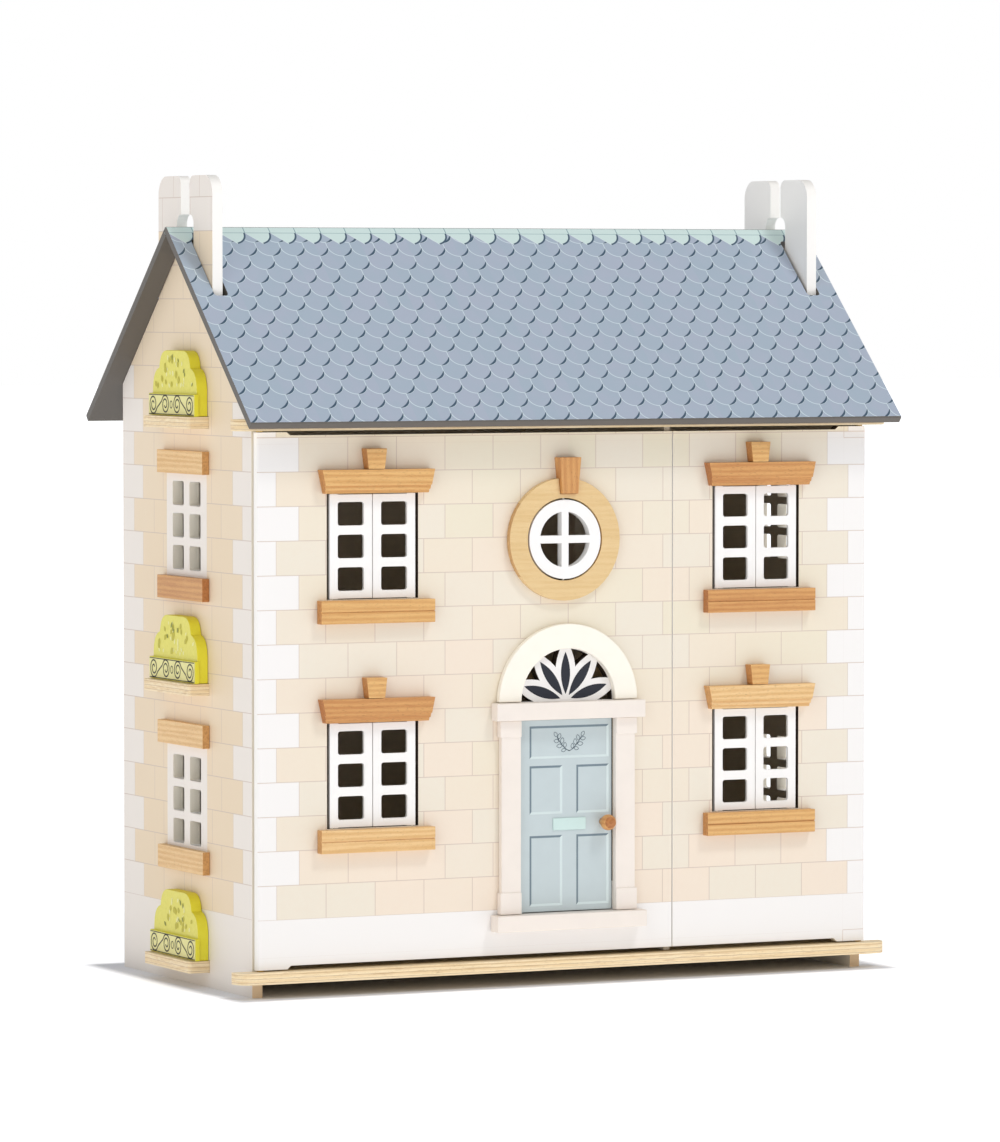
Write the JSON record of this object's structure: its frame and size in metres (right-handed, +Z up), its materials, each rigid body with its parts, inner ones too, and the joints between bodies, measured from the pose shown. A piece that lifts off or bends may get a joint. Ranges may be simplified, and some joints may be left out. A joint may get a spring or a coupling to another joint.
{
  "type": "dollhouse",
  "caption": "Wooden dollhouse with a hinged pitched roof, two hinged front panels, pivoting windows, an opening door, two floors, an attic and slotted chimneys.",
  "frame": {"origin": "centre of the footprint under the roof, on the ground the side walls stand on", "axes": "+X along the ridge towards the narrow front panel, -Y towards the front, +Z up"},
  "size_m": [0.6, 0.3506, 0.6695],
  "materials": {
    "roof_print": "slate-tile print on thin board, satin",
    "stone_print": "stone-course print on board, satin",
    "board_pine": "clear lacquered board",
    "inside_paint": "matt paint",
    "hedge_print": "hedge print on board, satin",
    "pin_brass": "polished",
    "white_paint": "satin paint",
    "pale_beech": "clear lacquer",
    "door_paint": "painted print, satin",
    "cream_paint": "satin paint",
    "beech": "clear lacquer"
  },
  "bodies": {
    "house": {"attic_floor": "board_pine", "back_wall": "stone_print", "base_board": "board_pine", "first_floor": "board_pine", "left_attic_hedge": "hedge_print", "left_bottom_pin": "pin_brass", "left_first_hedge": "hedge_print", "left_ground_hedge": "hedge_print", "left_lower_side_lintel": "beech", "left_lower_side_sill": "beech", "left_top_pin": "pin_brass", "left_upper_side_lintel": "beech", "left_upper_side_sill": "beech", "left_wall": "stone_print", "lower_partition": "inside_paint", "rear_roof": "roof_print", "right_attic_hedge": "hedge_print", "right_bottom_pin": "pin_brass", "right_first_hedge": "hedge_print", "right_ground_hedge": "hedge_print", "right_lower_side_lintel": "beech", "right_lower_side_sill": "beech", "right_top_pin": "pin_brass", "right_upper_side_lintel": "beech", "right_upper_side_sill": "beech", "right_wall": "stone_print", "upper_partition": "inside_paint"},
    "front_roof": {"front_roof": "roof_print"},
    "left_front": {"left_panel": "stone_print", "left_lower_lintel": "beech", "left_lower_keystone": "beech", "left_lower_sill": "beech", "left_upper_lintel": "beech", "left_upper_keystone": "beech", "left_upper_sill": "beech", "round_ring": "pale_beech", "round_keystone": "beech", "door_arch": "cream_paint", "door_shelf": "cream_paint", "door_step": "cream_paint", "left_pilaster": "cream_paint", "right_pilaster": "cream_paint"},
    "right_front": {"right_panel": "stone_print", "right_lower_lintel": "beech", "right_lower_keystone": "beech", "right_lower_sill": "beech", "right_upper_lintel": "beech", "right_upper_keystone": "beech", "right_upper_sill": "beech"},
    "round_window": {"round_window": "white_paint"},
    "door": {"door_leaf": "door_paint", "door_knob": "beech"},
    "left_lower_casement_a": {"left_lower_casement_a": "white_paint"},
    "left_lower_casement_b": {"left_lower_casement_b": "white_paint"},
    "left_upper_casement_a": {"left_upper_casement_a": "white_paint"},
    "left_upper_casement_b": {"left_upper_casement_b": "white_paint"},
    "right_lower_casement_a": {"right_lower_casement_a": "white_paint"},
    "right_lower_casement_b": {"right_lower_casement_b": "white_paint"},
    "right_upper_casement_a": {"right_upper_casement_a": "white_paint"},
    "right_upper_casement_b": {"right_upper_casement_b": "white_paint"}
  },
  "joints": [
    {"name": "roof_hinge", "type": "hinge", "parent": "house", "child": "front_roof", "pos_m": [0, 0, 0.62404], "axis": [-1, 0, 0], "range_deg": [0, 135]},
    {"name": "left_front_hinge", "type": "hinge", "parent": "house", "child": "left_front", "pos_m": [-0.2765, -0.1415, 0.24], "axis": [0, 0, -1], "range_deg": [0, 175]},
    {"name": "right_front_hinge", "type": "hinge", "parent": "house", "child": "right_front", "pos_m": [0.2765, -0.1415, 0.24], "axis": [0, 0, 1], "range_deg": [0, 175]},
    {"name": "left_lower_casement_a_hinge", "type": "hinge", "parent": "left_front", "child": "left_lower_casement_a", "pos_m": [-0.2143, -0.1445, 0.17955], "axis": [0, 0, -1], "range_deg": [0, 100]},
    {"name": "left_lower_casement_b_hinge", "type": "hinge", "parent": "left_front", "child": "left_lower_casement_b", "pos_m": [-0.1421, -0.1445, 0.17955], "axis": [0, 0, 1], "range_deg": [0, 100]},
    {"name": "left_upper_casement_a_hinge", "type": "hinge", "parent": "left_front", "child": "left_upper_casement_a", "pos_m": [-0.2143, -0.1445, 0.36645], "axis": [0, 0, -1], "range_deg": [0, 100]},
    {"name": "left_upper_casement_b_hinge", "type": "hinge", "parent": "left_front", "child": "left_upper_casement_b", "pos_m": [-0.1421, -0.1445, 0.36645], "axis": [0, 0, 1], "range_deg": [0, 100]},
    {"name": "right_lower_casement_a_hinge", "type": "hinge", "parent": "right_front", "child": "right_lower_casement_a", "pos_m": [0.1397, -0.1445, 0.18125], "axis": [0, 0, -1], "range_deg": [0, 100]},
    {"name": "right_lower_casement_b_hinge", "type": "hinge", "parent": "right_front", "child": "right_lower_casement_b", "pos_m": [0.2119, -0.1445, 0.18125], "axis": [0, 0, 1], "range_deg": [0, 100]},
    {"name": "right_upper_casement_a_hinge", "type": "hinge", "parent": "right_front", "child": "right_upper_casement_a", "pos_m": [0.1397, -0.1445, 0.36815], "axis": [0, 0, -1], "range_deg": [0, 100]},
    {"name": "right_upper_casement_b_hinge", "type": "hinge", "parent": "right_front", "child": "right_upper_casement_b", "pos_m": [0.2119, -0.1445, 0.36815], "axis": [0, 0, 1], "range_deg": [0, 100]},
    {"name": "round_window_pivot", "type": "hinge", "parent": "left_front", "child": "round_window", "pos_m": [-0.006, -0.1485, 0.3692], "axis": [0, 0, 1], "range_deg": [-85, 85]},
    {"name": "door_hinge", "type": "hinge", "parent": "left_front", "child": "door", "pos_m": [-0.0412, -0.143, 0.14], "axis": [0, 0, -1], "range_deg": [0, 95]}
  ]
}
